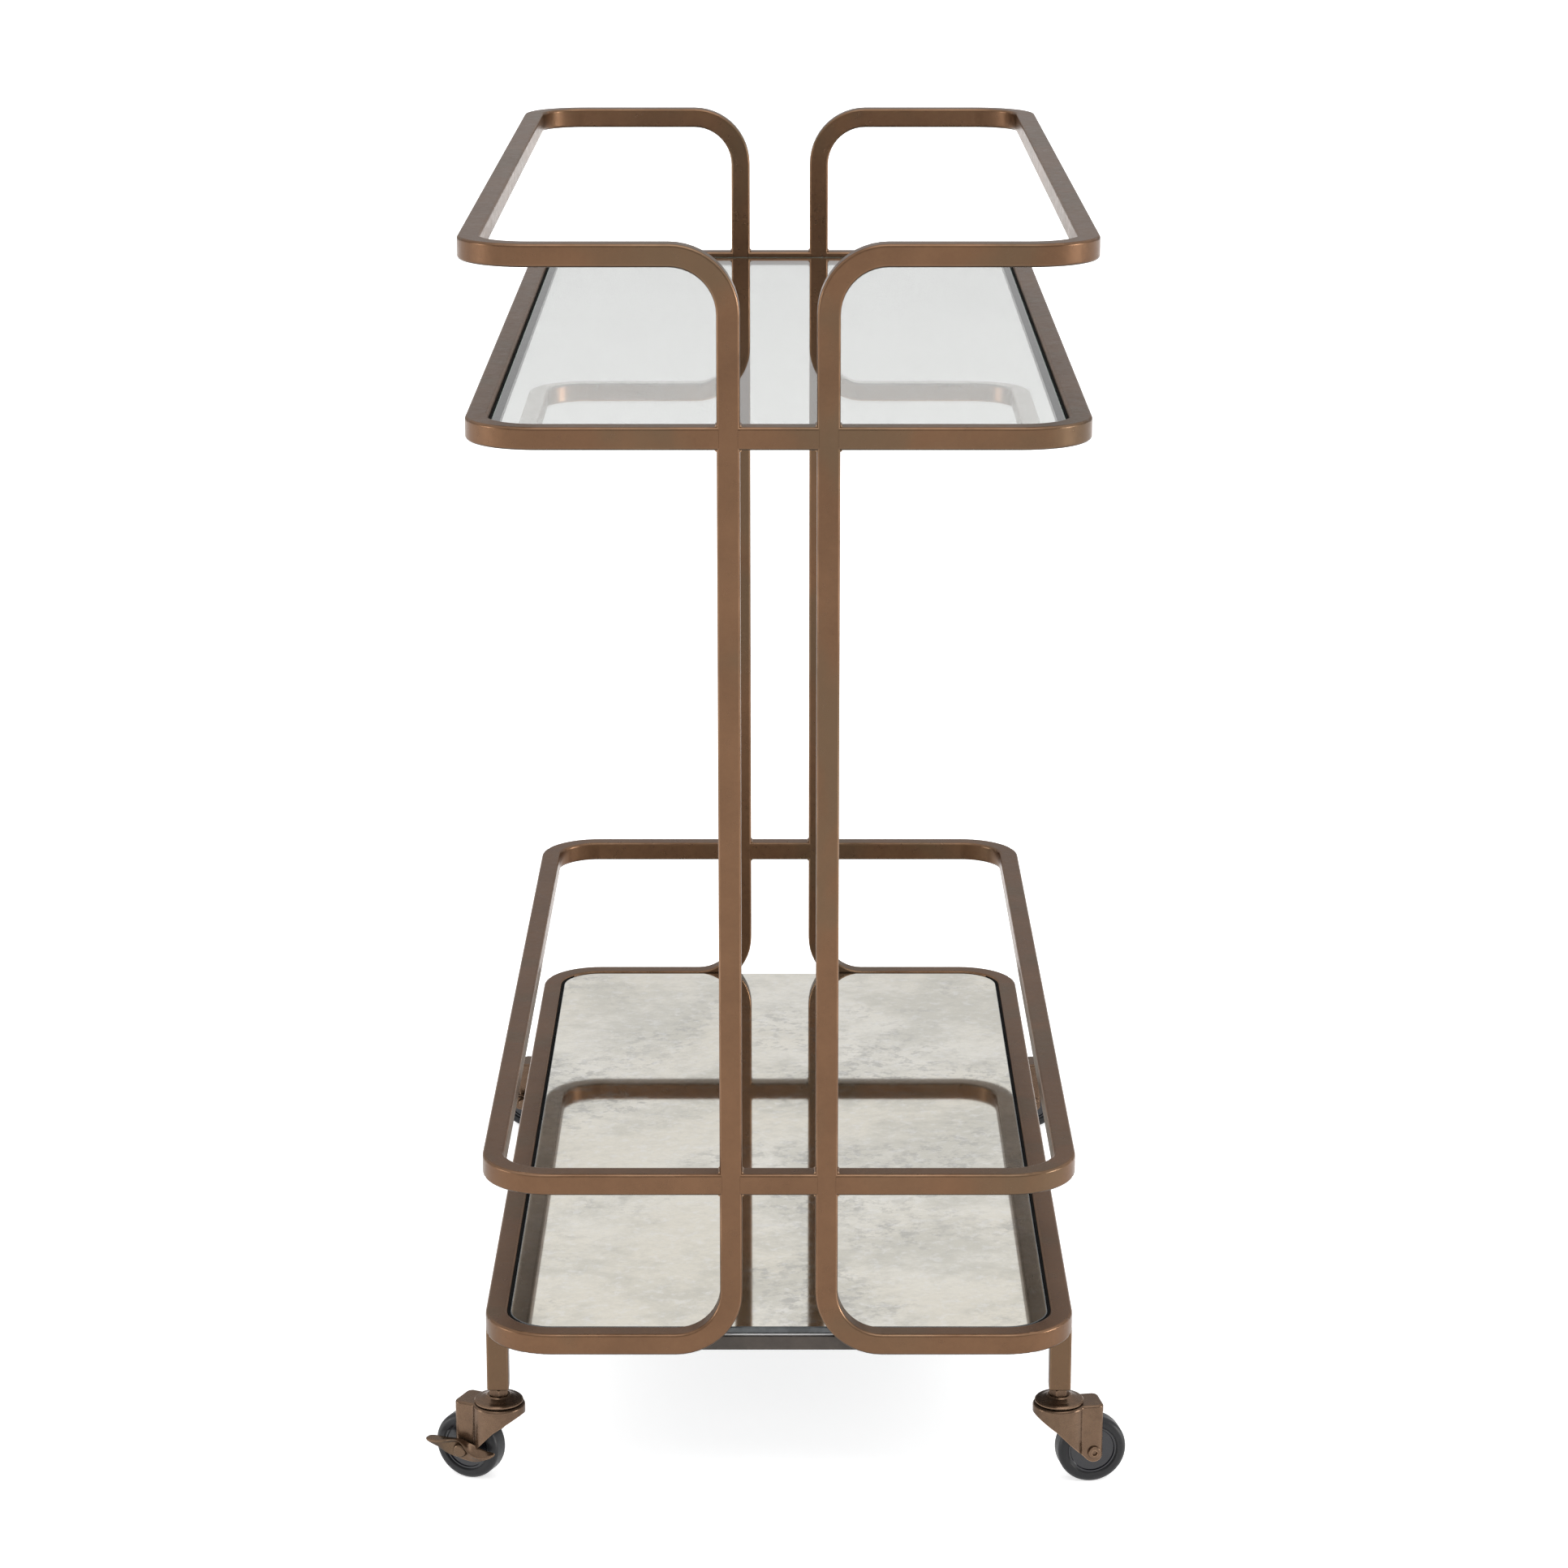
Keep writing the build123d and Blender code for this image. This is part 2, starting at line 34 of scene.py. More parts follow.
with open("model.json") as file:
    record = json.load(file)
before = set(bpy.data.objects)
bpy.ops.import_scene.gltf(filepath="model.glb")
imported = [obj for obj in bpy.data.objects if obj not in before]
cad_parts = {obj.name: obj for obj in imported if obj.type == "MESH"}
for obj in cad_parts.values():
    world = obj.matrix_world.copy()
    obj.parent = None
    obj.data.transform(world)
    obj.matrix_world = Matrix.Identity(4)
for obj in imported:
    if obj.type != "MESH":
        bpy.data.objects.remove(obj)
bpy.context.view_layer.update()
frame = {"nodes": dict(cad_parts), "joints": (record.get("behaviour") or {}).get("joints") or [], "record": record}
nodes = frame["nodes"]

# Where the frame's square tube runs upright: near the middle of the cart, and in the legs.
POST_BEND_END = 74 * MM
LEG_TOP = 121 * MM

GLASS_IOR = 1.52
SILVER_COAT = 0.35

# Linear colours, dark or base first.
BRONZE = (0.096, 0.050, 0.026), (0.150, 0.079, 0.041)
CASTER_BRONZE = (0.068, 0.042, 0.027), (0.162, 0.100, 0.062)
# The weld beads' lighter bronze is partly a rubbed finish and partly a painted glint.
WELD_AND_GLINT = (0.15, 0.085, 0.048), (0.34, 0.21, 0.13)
# Copper for the edges: partly real wear, partly a painted highlight standing in for glints of the side lights.
COPPER_WEAR_AND_GLINT = (0.60, 0.38, 0.24)
OLIVE = (0.092, 0.062, 0.036)
# Painted shade: a near-black brown that darkens faces looking down, as if light did not reach them.
UNDERSIDE_SHADE_COLOUR = (0.030, 0.021, 0.014)
BRONZE_SPECULAR = (0.66, 0.63, 0.61, 1)
DARK_STEEL = (0.030, 0.025, 0.021), (0.065, 0.052, 0.043)
STEEL = (0.38, 0.37, 0.35), (0.6, 0.59, 0.57)
# Painted shade: near black for the strips in the gap between the shelves and the tube, standing in for the shade
# in that gap.
GAP_SHADE_BLACK = (0.002, 0.002, 0.002), (0.006, 0.006, 0.006)
TYRE = (0.006, 0.006, 0.007), (0.013, 0.013, 0.015)
HUB = (0.006, 0.006, 0.009), (0.012, 0.012, 0.016)
BACKING = (0.07, 0.075, 0.08), (0.12, 0.13, 0.14)
CLEAR_PAD = (0.84, 0.84, 0.83), (0.9, 0.9, 0.89)
GLASS = (0.546, 0.556, 0.546), (0.532, 0.542, 0.532)
GLASS_EDGE = (0.16, 0.23, 0.2), (0.3, 0.38, 0.34)
SILVER_WARM = (0.78, 0.735, 0.63), (0.84, 0.81, 0.73)
SILVER_CLOUD = (0.55, 0.53, 0.455)
DARK_FLAKE = (0.40, 0.39, 0.36)
LIGHT_FLAKE = (0.84, 0.83, 0.81)
SILVER_GRAIN = (0.42, 0.42, 0.40)
MIRROR_EDGE = (0.022, 0.026, 0.028), (0.065, 0.072, 0.076)
FLOOR = (0.88, 0.88, 0.88), (0.9, 0.9, 0.9)


# ---------------------------------------------------------------- node material helpers

# The Mix node has a set of sockets for each data type; these are the colour ones.
MIX_COLOUR_A, MIX_COLOUR_B, MIX_RESULT = 6, 7, 2


class Tree:
    """A material's node tree with short calls for the nodes used here."""

    def __init__(self, name):
        self.material = bpy.data.materials.new(name)
        self.material.use_nodes = True
        self.tree = self.material.node_tree
        self.tree.nodes.clear()
        surface = self.node("OutputMaterial").inputs["Surface"]
        self.bsdf = self.node("BsdfPrincipled")
        self.link(self.bsdf.outputs[0], surface)
        self.coords = self.node("TexCoord").outputs["Object"]
        self.normal = self.node("NewGeometry").outputs["Normal"]

    def node(self, kind):
        return self.tree.nodes.new("ShaderNode" + kind)

    def link(self, source, target):
        self.tree.links.new(source, target)

    def feed(self, target, value):
        """Puts a socket or a plain value into an input socket."""
        if isinstance(value, bpy.types.NodeSocket):
            self.link(value, target)
        else:
            target.default_value = value

    def shader(self, **inputs):
        for name, value in inputs.items():
            self.feed(self.bsdf.inputs[name.replace("_", " ")], value)

    def stretched(self, x, y, z):
        """Object coordinates scaled per axis."""
        node = self.node("Mapping")
        self.link(self.coords, node.inputs["Vector"])
        node.inputs["Scale"].default_value = (x, y, z)
        return node.outputs[0]

    def noise(self, scale, detail=4, rough=0.5, distortion=0, vector=None):
        node = self.node("TexNoise")
        self.link(vector or self.coords, node.inputs["Vector"])
        node.inputs["Scale"].default_value = scale
        node.inputs["Detail"].default_value = detail
        node.inputs["Roughness"].default_value = rough
        node.inputs["Distortion"].default_value = distortion
        return node.outputs["Fac"]

    def range(self, value, low, high, to_low=0.0, to_high=1.0):
        """Maps low..high to to_low..to_high in a straight line, held at both ends."""
        node = self.node("MapRange")
        self.link(value, node.inputs["Value"])
        limits = {"From Min": low, "From Max": high, "To Min": to_low, "To Max": to_high}
        for socket, number in limits.items():
            node.inputs[socket].default_value = number
        return node.outputs[0]

    def ease(self, value, low, high, to_low=0.0, to_high=1.0):
        """The same with soft ends."""
        result = self.range(value, low, high, to_low, to_high)
        result.node.interpolation_type = "SMOOTHSTEP"
        return result

    def math(self, operation, a, b=0.0):
        node = self.node("Math")
        node.operation = operation
        self.feed(node.inputs[0], a)
        self.feed(node.inputs[1], b)
        return node.outputs[0]

    def plus(self, a, b):
        return self.math("ADD", a, b)

    def times(self, a, b):
        return self.math("MULTIPLY", a, b)

    def mix(self, factor, a, b):
        """Colour a at factor 0 and b at 1."""
        node = self.node("Mix")
        node.data_type = "RGBA"
        self.feed(node.inputs[0], factor)
        for socket, value in ((MIX_COLOUR_A, a), (MIX_COLOUR_B, b)):
            plain = not isinstance(value, bpy.types.NodeSocket)
            self.feed(node.inputs[socket], (*value, 1.0) if plain else value)
        return node.outputs[MIX_RESULT]

    def bump(self, height, strength, distance):
        node = self.node("Bump")
        node.inputs["Strength"].default_value = strength
        node.inputs["Distance"].default_value = distance
        self.link(height, node.inputs["Height"])
        self.link(node.outputs[0], self.bsdf.inputs["Normal"])

    def axis_of(self, output, axis):
        node = self.node("SeparateXYZ")
        self.link(output, node.inputs[0])
        return node.outputs[axis]

    def in_leg(self):
        """1 below the bottom rails, 0 above."""
        return self.math("LESS_THAN", self.axis_of(self.coords, "Z"), LEG_TOP)

    def tube_edges(self):
        """1 on the rounded corners of the frame's square tube, 0 on its flats."""
        from_middle = self.math("ABSOLUTE", self.axis_of(self.coords, "X"))
        near_posts = self.math("LESS_THAN", from_middle, POST_BEND_END)
        upright = self.math("MAXIMUM", near_posts, self.in_leg())
        level_z, upright_y = (self.axis_of(self.normal, axis) for axis in "ZY")
        across = self.math("ABSOLUTE", self.axis_of(self.mix(upright, level_z, upright_y), "X"))
        rise = self.ease(across, 0.22, 0.5)
        fall = self.ease(across, 0.8, 0.97, to_low=1.0, to_high=0.0)
        return self.times(rise, fall)

    def sharp_edges(self, radius):
        """1 on edges sharper than the radius, 0 on flats, for pressed and turned parts."""
        bevel = self.node("Bevel")
        bevel.samples = 4
        bevel.inputs["Radius"].default_value = radius
        dot = self.node("VectorMath")
        dot.operation = "DOT_PRODUCT"
        self.link(bevel.outputs[0], dot.inputs[0])
        self.link(self.normal, dot.inputs[1])
        return self.range(dot.outputs["Value"], 1.0, 0.93)


# ---------------------------------------------------------------- materials

def bronze(name, colours, rough, wear_and_glint, tube=False):
    """Antique bronze: olive and red-brown zones, fine mottle, copper edges that are partly wear and partly a
    painted highlight, and painted shade on faces that look down.
    """
    t = Tree(name)
    clouds = t.range(t.noise(scale=14, detail=5, rough=0.6), 0.35, 0.68)
    mottle = t.range(t.noise(scale=140, detail=6, rough=0.65), 0.3, 0.75)
    lines = t.noise(scale=260, detail=3, rough=0.6)
    tone = t.plus(t.times(clouds, 0.5), t.times(mottle, 0.25))
    tone = t.plus(tone, t.times(t.range(lines, 0.35, 0.7), 0.15))
    colour = t.mix(tone, *colours)

    long_zones = t.stretched(1, 1.3, 0.8)
    zones = t.noise(scale=9, detail=3, distortion=0.5, vector=long_zones)
    olive = t.ease(zones, 0.5, 0.66)
    if tube:
        olive = t.math("MAXIMUM", olive, t.times(t.in_leg(), 0.8))
    colour = t.mix(t.times(olive, 0.6), colour, OLIVE)

    # Copper on the edges, in patches: partly wear, partly a painted highlight along the rounded corners.
    edges = t.tube_edges() if tube else t.sharp_edges(0.7 * MM)
    patchy_wear_and_glint = t.times(edges, t.range(t.noise(scale=22, rough=0.6), 0.3, 0.65))
    colour = t.mix(t.times(patchy_wear_and_glint, wear_and_glint), colour, COPPER_WEAR_AND_GLINT)

    # Painted shade: faces that look down are darkened towards the near-black brown.
    painted_underside_shade = t.ease(t.axis_of(t.normal, "Z"), -0.2, -0.65, to_high=0.88)
    colour = t.mix(painted_underside_shade, colour, UNDERSIDE_SHADE_COLOUR)
    t.shader(
        Base_Color=colour,
        Metallic=0.82,
        Roughness=t.range(t.plus(mottle, lines), 0.4, 1.6, rough - 0.06, rough + 0.08),
        Specular_Tint=BRONZE_SPECULAR,
        Coat_Weight=0.08,
        Coat_Roughness=0.2,
    )
    t.bump(t.plus(lines, t.times(mottle, 0.4)), strength=0.07, distance=0.04 * MM)
    return t.material


def dark_steel():
    t = Tree("dark_steel")
    grain = t.noise(scale=300, detail=5, rough=0.65)
    t.shader(
        Base_Color=t.mix(t.range(t.noise(scale=30), 0.3, 0.7), *DARK_STEEL),
        Metallic=0.5,
        Roughness=t.range(grain, 0.3, 0.7, 0.4, 0.58),
    )
    t.bump(grain, strength=0.15, distance=0.06 * MM)
    return t.material


def steel():
    t = Tree("turned_steel")
    rings = t.noise(scale=400, detail=3, rough=0.6, vector=t.stretched(0.2, 0.2, 3))
    t.shader(
        Base_Color=t.mix(rings, *STEEL),
        Metallic=1.0,
        Roughness=t.range(rings, 0.3, 0.7, 0.24, 0.4),
    )
    return t.material


def matt(name, colours, rough, shine=0.5, scale=500, depth=0.08 * MM):
    """Rubber or moulded plastic with a fine pebble and slight dusty patches."""
    t = Tree(name)
    pebble = t.noise(scale, detail=5, rough=0.6)
    dust = t.range(t.noise(scale=35, detail=5, rough=0.6), 0.4, 0.75)
    t.shader(
        Base_Color=t.mix(dust, *colours),
        Roughness=t.range(pebble, 0.3, 0.7, rough - 0.06, rough + 0.08),
        Specular_IOR_Level=shine,
    )
    t.bump(pebble, strength=0.25, distance=depth)
    return t.material


def glass_face():
    """Clear float glass with a few faint smears."""
    t = Tree("shelf_glass")
    smear = t.range(t.noise(scale=9, detail=5, rough=0.6), 0.45, 0.75)
    t.shader(
        Base_Color=t.mix(smear, *GLASS),
        Roughness=t.range(smear, 0.0, 1.0, 0.0, 0.018),
        IOR=GLASS_IOR,
        Transmission_Weight=1.0,
    )
    return t.material


def glass_edge():
    t = Tree("glass_edge")
    t.shader(
        Base_Color=t.mix(t.noise(scale=80), *GLASS_EDGE),
        Roughness=t.range(t.noise(scale=300, detail=3), 0.3, 0.7, 0.12, 0.25),
        IOR=GLASS_IOR,
    )
    return t.material


def mirror_face():
    """Antiqued mirror: cream silvering with greyer clouds, and clusters of small flakes."""
    t = Tree("antique_mirror")
    plan = t.stretched(1, 1, 0.2)

    def patches(scale, detail, rough, low, high, distortion=0.0):
        return t.ease(t.noise(scale, detail, rough, distortion, plan), low, high)

    warm = patches(4.5, 3, 0.5, 0.38, 0.62)
    clouds = patches(10, 6, 0.68, 0.42, 0.62, distortion=0.1)
    cluster = patches(5.5, 6, 0.66, 0.46, 0.6, distortion=0.1)
    dark_flakes = patches(76, 9, 0.7, 0.47, 0.6)
    light_flakes = patches(105, 8, 0.68, 0.5, 0.66)
    grain = t.range(t.noise(scale=230, detail=5, rough=0.7, vector=plan), 0.38, 0.7)
    flaked = t.times(dark_flakes, t.range(cluster, 0, 1, 0.16, 1.0))
    colour = t.mix(warm, *SILVER_WARM)
    for amount, share, tint in (
        (clouds, 0.7, SILVER_CLOUD),
        (flaked, 0.72, DARK_FLAKE),
        (light_flakes, 0.45, LIGHT_FLAKE),
        (grain, 0.14, SILVER_GRAIN),
    ):
        colour = t.mix(t.times(amount, share), colour, tint)
    t.shader(
        Base_Color=colour,
        Metallic=t.range(flaked, 0, 1, 0.99, 0.95),
        Roughness=t.range(flaked, 0, 1, 0.035, 0.055),
        Coat_Weight=SILVER_COAT,
    )
    return t.material


def mirror_edge():
    t = Tree("mirror_edge")
    smudge = t.range(t.noise(scale=38, detail=5, rough=0.7), 0.42, 0.66)
    t.shader(
        Base_Color=t.mix(smudge, *MIRROR_EDGE),
        Roughness=t.range(smudge, 0, 1, 0.12, 0.3),
        IOR=GLASS_IOR,
    )
    return t.material


# One material per slot of the record.
materials = {
    # The edge copper amounts below are partly wear and partly a painted highlight.
    "bronze": bronze("antique_bronze", BRONZE, rough=0.31, wear_and_glint=0.16, tube=True),
    "caster_bronze": bronze("caster_bronze", CASTER_BRONZE, rough=0.27, wear_and_glint=0.55),
    # Weld beads: lighter bronze, partly rubbed finish and partly a painted glint.
    "weld": bronze("rubbed_weld_and_glint", WELD_AND_GLINT, rough=0.28, wear_and_glint=0.6),
    "dark_steel": dark_steel(),
    "steel": steel(),
    # The black strips' colour is painted shade for the gap between the glass or mirror and the tube.
    "black_strip": matt("black_strip", GAP_SHADE_BLACK, rough=0.8, shine=0.05),
    "tyre": matt("tyre_rubber", TYRE, rough=0.4, shine=0.3),
    "hub": matt("hub_plastic", HUB, rough=0.19, scale=350, depth=0.02 * MM),
    "backing": matt("mirror_backing", BACKING, rough=0.6),
    "pad": matt("clear_pad", CLEAR_PAD, rough=0.4),
    "glass": glass_face(),
    "mirror": mirror_face(),
}
slots = {part["node"]: part["material_slot"] for part in frame["record"]["subparts"]}
for name, node in nodes.items():
    node.data.materials.clear()
    node.data.materials.append(materials[slots[name]])


# ---------------------------------------------------------------- mesh helpers

SHARP_ANGLE = 35  # degrees


def shade(mesh, sharp_angle=SHARP_ANGLE):
    """Smooth shading, with edges sharper than the angle kept crisp."""
    mesh.shade_smooth()
    mesh.set_sharp_from_angle(angle=math.radians(sharp_angle))


def in_scene(name, data):
    obj = bpy.data.objects.new(name, data)
    bpy.context.scene.collection.objects.link(obj)
    return obj


def new_object(name, bm, mats=()):
    mesh = bpy.data.meshes.new(name)
    bm.normal_update()
    bm.to_mesh(mesh)
    bm.free()
    for m in mats:
        mesh.materials.append(m)
    shade(mesh)
    return in_scene(name, mesh)


# ---------------------------------------------------------------- glass and mirror panes

PANE_CORNER = 32.25 * MM
CORNER_STEPS = 12
EDGE_STEPS = 4
GLASS_ARRIS = 0.7 * MM
MIRROR_ARRIS = 1.0 * MM


def rounded_outline(half_x, half_y, corner):
    """Points of a rounded rectangle, anticlockwise from the +X side's upper end."""
    points = []
    for quarter, (sx, sy) in enumerate(((1, 1), (-1, 1), (-1, -1), (1, -1))):
        for i in range(CORNER_STEPS + 1):
            a = math.radians(90 * (quarter + i / CORNER_STEPS))
            x = sx * (half_x - corner) + corner * math.cos(a)
            y = sy * (half_y - corner) + corner * math.sin(a)
            points.append((x, y))
    return points


def pane(name, node, arris, face, edge, underside=None):
    """Plate glass in place of a CAD pane: flat faces and a polished edge rounded by the arris."""
    low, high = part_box(node)
    middle = (low + high) / 2
    half_x, half_y = (high.x - low.x) / 2, (high.y - low.y) / 2
    angles = [math.radians(90 * i / EDGE_STEPS) for i in range(EDGE_STEPS + 1)]
    profile = []
    for side, z, arc in ((-1, low.z, angles), (1, high.z, angles[::-1])):
        profile += [(arris * (1 - math.sin(a)), z + side * arris * (math.cos(a) - 1)) for a in arc]
    bm = bmesh.new()
    loops = []
    for inset, z in profile:
        outline = rounded_outline(half_x - inset, half_y - inset, PANE_CORNER - inset)
        loops.append([bm.verts.new((middle.x + x, middle.y + y, z)) for x, y in outline])
    for a, b in zip(loops, loops[1:]):
        for i in range(len(a)):
            j = (i + 1) % len(a)
            bm.faces.new((a[i], a[j], b[j], b[i])).material_index = 1
    bm.faces.new(loops[-1])
    bm.faces.new(reversed(loops[0])).material_index = 2 if underside else 0
    obj = new_object(name, bm, [m for m in (face, edge, underside) if m])
    for polygon in obj.data.polygons:
        polygon.use_smooth = len(polygon.vertices) == 4
    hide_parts(node)
    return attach(obj, "frame")


glass = pane("glass_pane", "glass_shelf", GLASS_ARRIS, materials["glass"], glass_edge())
mirror = pane(
    "mirror_pane", "mirror_shelf", MIRROR_ARRIS,
    materials["mirror"], mirror_edge(), materials["backing"],
)


# ---------------------------------------------------------------- brake levers

# Sections of the pressed lever in millimetres. First the distance behind the axle, then four
# points as (out from the plate's inner face, up from the axle): the back edge, the front lip,
# the root of the lip and the skirt's lower edge.
LEVER_SECTIONS = [
    (26.0, (2.6, 6.7), (5.2, 6.7), (4.9, 6.3), (4.4, 6.1)),
    (24.6, (0.7, 6.8), (7.7, 6.8), (7.3, 6.2), (6.6, 5.6)),
    (21.0, (-0.2, 6.9), (8.8, 6.9), (8.6, 6.0), (7.6, 4.8)),
    (16.0, (0.0, 7.0), (8.4, 7.1), (7.9, 5.8), (5.2, 1.6)),
    (11.0, (0.0, 7.2), (7.2, 7.8), (6.2, 6.2), (3.0, -2.6)),
    (7.0, (0.0, 7.6), (6.4, 8.6), (3.6, 6.9), (1.6, -4.6)),
    (3.0, (0.0, 7.9), (6.2, 9.2), (1.2, 7.2), (0.9, -5.8)),
    (0.0, (0.0, 7.8), (6.0, 9.0), (0.9, 6.8), (0.8, -6.4)),
    (-3.0, (0.0, 7.2), (5.8, 7.4), (0.9, 5.2), (0.8, -6.9)),
    (-6.0, (0.0, 6.2), (5.6, 3.2), (1.2, 1.6), (0.8, -7.2)),
    (-9.0, (0.0, 5.6), (5.0, -0.2), (2.4, -1.6), (1.0, -7.1)),
    (-13.0, (0.0, 4.6), (4.4, -2.0), (3.4, -2.9), (1.6, -6.6)),
    (-17.0, (0.0, 3.4), (4.4, -2.1), (4.0, -2.9), (3.0, -4.8)),
    (-22.0, (0.2, 2.4), (4.2, -1.0), (4.0, -1.6), (3.6, -2.6)),
    (-26.0, (0.6, 2.3), (3.6, 0.6), (3.4, 0.1), (3.2, -0.5)),
    (-28.6, (1.5, 2.4), (2.7, 2.0), (2.5, 1.7), (2.4, 1.4)),
]
SECTION_POINTS = 4
LEVER_PLANE = 14.6  # from the wheel's middle to the middle of the lever's sheet
LEVER_SHEET = 1.2 * MM
LEVER_RIM = 0.3 * MM
LEVER_BORE = 4.3 * MM
DRILL_LENGTH = 8 * MM
LEVER_COLUMNS, LEVER_ROWS = 44, 5
LEVER_SMOOTHINGS = 2
LEVER_SHARP_ANGLE = 40
LEVER_BEVEL_ANGLE = 50


def through(knots, t):
    """Point on a smooth curve through the knots; t runs from 0 to 1 over all of them."""
    last = len(knots) - 1
    place = t * last
    i = min(int(place), last - 1)
    u = place - i
    near = (Vector(knots[min(max(k, 0), last)]) for k in range(i - 1, i + 3))
    before, a, b, after = near
    bend = 2 * before - 5 * a + 4 * b - after
    return a + 0.5 * ((b - before) * u + bend * u * u + (3 * (a - b) + after - before) * u**3)


def lever_sheet(name, axle, outwards):
    """The lever's middle surface: a spoon-shaped tongue, a lip arched over the bolt, and a wing."""
    behind = outwards.cross(Vector((0, 0, 1)))

    def place(x, out, up):
        flat = MM * (x * behind + (LEVER_PLANE + out) * outwards)
        return axle + flat + Vector((0, 0, MM * up))

    lines = [
        [Vector((section[0], *section[1 + k])) for section in LEVER_SECTIONS]
        for k in range(SECTION_POINTS)
    ]
    bm = bmesh.new()
    grid = []
    for i in range(LEVER_COLUMNS + 1):
        knots = [through(line, i / LEVER_COLUMNS) for line in lines]
        points = [knots[0]]
        for start, end in zip(knots, knots[1:]):
            points += [start.lerp(end, k / LEVER_ROWS) for k in range(1, LEVER_ROWS + 1)]
        grid.append([bm.verts.new(place(*point)) for point in points])
    for a, b in zip(grid, grid[1:]):
        for k in range(len(a) - 1):
            bm.faces.new((a[k], a[k + 1], b[k + 1], b[k]))
    for _ in range(LEVER_SMOOTHINGS):
        inside = [v for v in bm.verts if not v.is_boundary]
        bmesh.ops.smooth_vert(
            bm, verts=inside, factor=0.5, use_axis_x=True, use_axis_y=True, use_axis_z=True
        )
    return new_object(name + "_sheet", bm, [materials["caster_bronze"]])


def drill(name, axle, outwards):
    bm = bmesh.new()
    bmesh.ops.create_cone(
        bm, cap_ends=True, segments=48, radius1=LEVER_BORE, radius2=LEVER_BORE, depth=DRILL_LENGTH,
        matrix=outwards.to_track_quat("Z", "Y").to_matrix().to_4x4(),
    )
    obj = new_object(name + "_drill", bm)
    obj.location = axle + LEVER_PLANE * MM * outwards
    return obj


def brake_lever(name):
    """Pressed sheet rocker in place of the CAD lever, bored for its pivot bolt."""
    pivot = next(j for j in frame["joints"] if j["name"] == name + "_press")
    axle, outwards = Vector(pivot["pos_m"]), Vector(pivot["axis"])
    sheet = lever_sheet(name, axle, outwards)
    cutter = drill(name, axle, outwards)
    thick = sheet.modifiers.new("thick", "SOLIDIFY")
    thick.thickness = LEVER_SHEET
    thick.offset = 0
    thick.use_even_offset = False
    bore = sheet.modifiers.new("bore", "BOOLEAN")
    bore.object = cutter
    bore.solver = "EXACT"
    rim = sheet.modifiers.new("rim", "BEVEL")
    rim.width = LEVER_RIM
    rim.segments = 2
    rim.angle_limit = math.radians(LEVER_BEVEL_ANGLE)
    bpy.context.view_layer.update()
    finished = sheet.evaluated_get(bpy.context.evaluated_depsgraph_get())
    mesh = bpy.data.meshes.new_from_object(finished)
    mesh.name = name
    for spare in (sheet, cutter):
        bpy.data.objects.remove(spare)
    shade(mesh, LEVER_SHARP_ANGLE)
    obj = in_scene(name + "_lever_pressed", mesh)
    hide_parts(name + "_lever")
    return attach(obj, name)


for name in ("front_left_brake", "rear_left_brake"):
    brake_lever(name)


# ---------------------------------------------------------------- floor, lights, world

FLOOR_RADIUS = 40
FLOOR_GLOW = 0.62  # whitens the cart's shadow
WARM_LIGHT, WHITE_LIGHT = (1.0, 0.98, 0.95), (1.0, 1.0, 1.0)
HORIZON_LIGHT, ZENITH_LIGHT = 0.5, 1.3
ZENITH_STARTS = 0.8


def floor():
    bm = bmesh.new()
    bmesh.ops.create_circle(bm, cap_ends=True, segments=96, radius=FLOOR_RADIUS)
    t = Tree("studio_floor")
    t.shader(
        Base_Color=t.mix(t.noise(scale=0.8, detail=3), *FLOOR),
        Roughness=t.range(t.noise(scale=20), 0.3, 0.7, 0.55, 0.65),
        Specular_IOR_Level=0.2,
        Emission_Color=(1, 1, 1, 1),
        Emission_Strength=FLOOR_GLOW,
    )
    new_object("studio_floor", bm, [t.material])


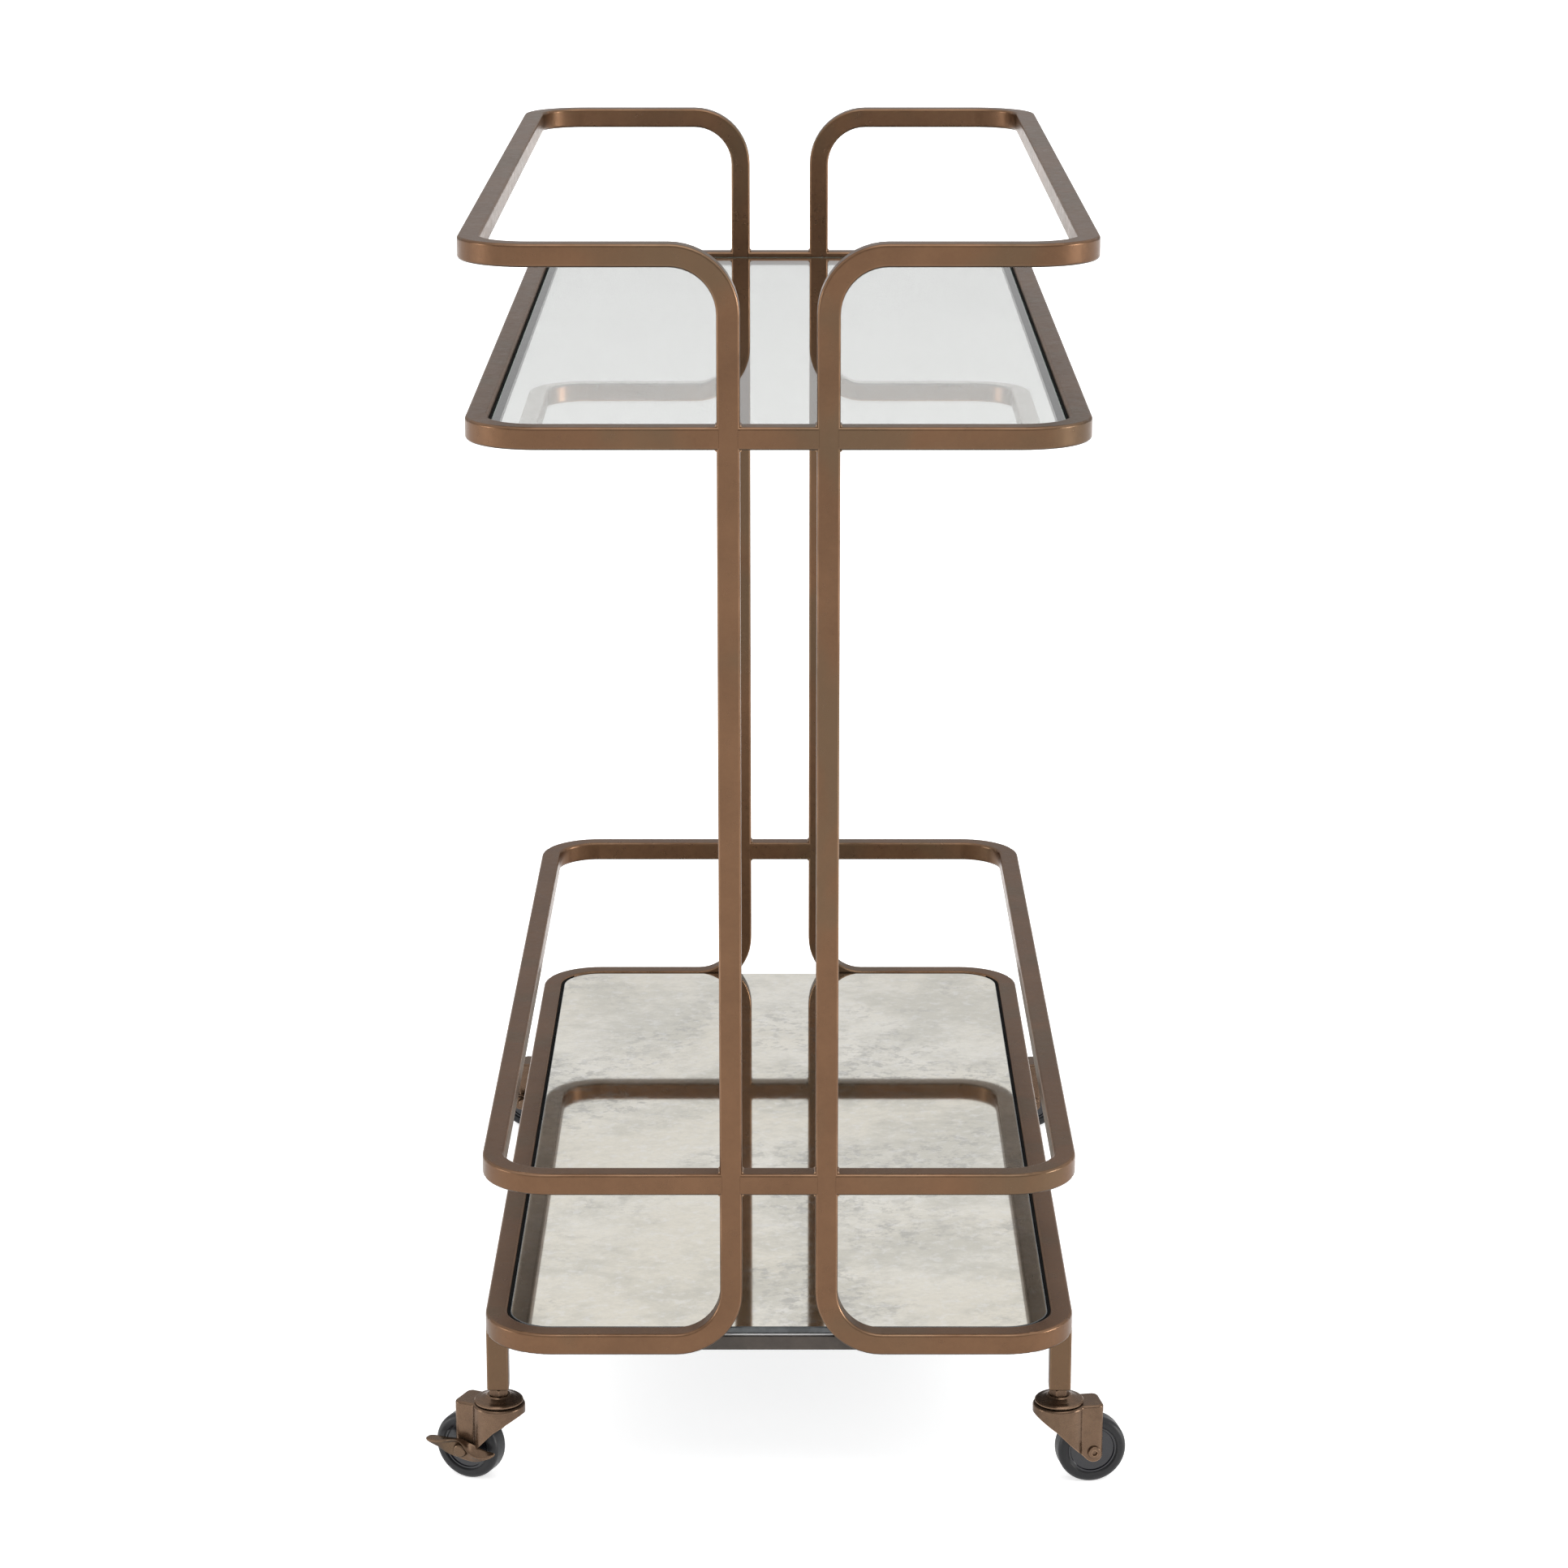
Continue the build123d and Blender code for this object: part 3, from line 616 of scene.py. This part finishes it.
def sun(name, towards, strength, spread, colour):
    """Soft light from far off; towards points from the cart to the light."""
    data = bpy.data.lights.new(name, "SUN")
    data.energy = strength
    data.angle = math.radians(spread)
    data.color = colour
    in_scene(name, data).rotation_euler = Vector(towards).to_track_quat("Z", "Y").to_euler()


def studio_world():
    """Light that grows from the horizon to the zenith; the camera itself sees white."""
    world = bpy.data.worlds.new("studio")
    world.use_nodes = True
    link, node = world.node_tree.links.new, world.node_tree.nodes.new
    background = world.node_tree.nodes["Background"]
    height = node("ShaderNodeSeparateXYZ")
    ramp = node("ShaderNodeMapRange")
    ramp.inputs["From Max"].default_value = ZENITH_STARTS
    ramp.inputs["To Min"].default_value = HORIZON_LIGHT
    ramp.inputs["To Max"].default_value = ZENITH_LIGHT
    seen = node("ShaderNodeMath")
    seen.operation = "MAXIMUM"
    link(node("ShaderNodeTexCoord").outputs["Generated"], height.inputs[0])
    link(height.outputs["Z"], ramp.inputs["Value"])
    link(ramp.outputs[0], seen.inputs[0])
    link(node("ShaderNodeLightPath").outputs["Is Camera Ray"], seen.inputs[1])
    link(seen.outputs[0], background.inputs["Strength"])
    background.inputs["Color"].default_value = (1, 1, 1, 1)
    bpy.context.scene.world = world


floor()
sun("left_sun", (-1.0, -0.12, 0.06), strength=1.1, spread=22, colour=WARM_LIGHT)
sun("right_sun", (1.0, -0.16, 0.06), strength=2.0, spread=22, colour=WARM_LIGHT)
sun("top_sun", (0.1, -0.34, 0.95), strength=0.75, spread=45, colour=WHITE_LIGHT)
studio_world()
bpy.context.scene.view_settings.view_transform = "Standard"


# ---------------------------------------------------------------- camera

SENSOR = 36.0
FRAME_PIXELS = 1932
FOCAL_PIXELS = 5116
CAMERA_PLACE = (0.0037, -3.200, 1.300)
CAMERA_PITCH = 15.24  # degrees below level

camera_data = bpy.data.cameras.new("camera")
camera_data.sensor_width = SENSOR
camera_data.lens = FOCAL_PIXELS / FRAME_PIXELS * SENSOR
camera_data.clip_end = 200
camera = in_scene("camera", camera_data)
camera.location = CAMERA_PLACE
camera.rotation_euler = (math.radians(90 - CAMERA_PITCH), 0, 0)
bpy.context.scene.camera = camera
